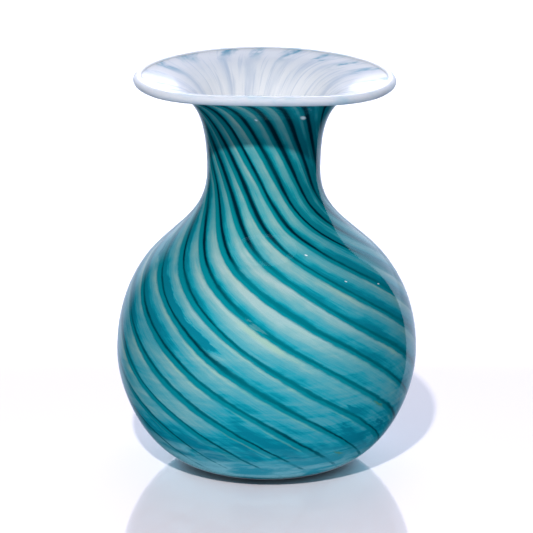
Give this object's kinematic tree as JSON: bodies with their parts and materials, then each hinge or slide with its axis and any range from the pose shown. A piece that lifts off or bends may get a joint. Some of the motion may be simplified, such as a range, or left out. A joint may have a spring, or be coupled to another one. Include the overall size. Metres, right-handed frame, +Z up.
{
  "type": "vase",
  "caption": "Hand-blown glass vase with a round body, narrow neck and wide flared white lip, with dark and turquoise canes twisted round it under clear glass.",
  "frame": {"origin": "centre of the foot ring, on the surface that the vase stands on", "axes": "+Z up the vase's axis from the foot to the lip; -Y is the front"},
  "size_m": [0.1518, 0.1518, 0.2007],
  "materials": {
    "clear_glass": "clear, fire polished, with a ground and polished foot ring",
    "dark_teal_glass": "dark teal glass under the clear casing",
    "turquoise_glass": "turquoise glass shading to pale cream green at one side of each cane, under the clear casing",
    "opal_glass": "opaque white, fire polished, with faint blue wisps near the lip",
    "lip_glass": "opaque white thread, fire polished"
  },
  "bodies": {
    "root": {"clear_casing": "clear_glass", "dark_cane_01": "dark_teal_glass", "dark_cane_02": "dark_teal_glass", "dark_cane_03": "dark_teal_glass", "dark_cane_04": "dark_teal_glass", "dark_cane_05": "dark_teal_glass", "dark_cane_06": "dark_teal_glass", "dark_cane_07": "dark_teal_glass", "dark_cane_08": "dark_teal_glass", "dark_cane_09": "dark_teal_glass", "dark_cane_10": "dark_teal_glass", "dark_cane_11": "dark_teal_glass", "dark_cane_12": "dark_teal_glass", "dark_cane_13": "dark_teal_glass", "dark_cane_14": "dark_teal_glass", "dark_cane_15": "dark_teal_glass", "dark_cane_16": "dark_teal_glass", "dark_cane_17": "dark_teal_glass", "dark_cane_18": "dark_teal_glass", "dark_cane_19": "dark_teal_glass", "turquoise_cane_01": "turquoise_glass", "turquoise_cane_02": "turquoise_glass", "turquoise_cane_03": "turquoise_glass", "turquoise_cane_04": "turquoise_glass", "turquoise_cane_05": "turquoise_glass", "turquoise_cane_06": "turquoise_glass", "turquoise_cane_07": "turquoise_glass", "turquoise_cane_08": "turquoise_glass", "turquoise_cane_09": "turquoise_glass", "turquoise_cane_10": "turquoise_glass", "turquoise_cane_11": "turquoise_glass", "turquoise_cane_12": "turquoise_glass", "turquoise_cane_13": "turquoise_glass", "turquoise_cane_14": "turquoise_glass", "turquoise_cane_15": "turquoise_glass", "turquoise_cane_16": "turquoise_glass", "turquoise_cane_17": "turquoise_glass", "turquoise_cane_18": "turquoise_glass", "turquoise_cane_19": "turquoise_glass", "opal_liner": "opal_glass", "lip_wrap": "lip_glass"}
  },
  "joints": []
}
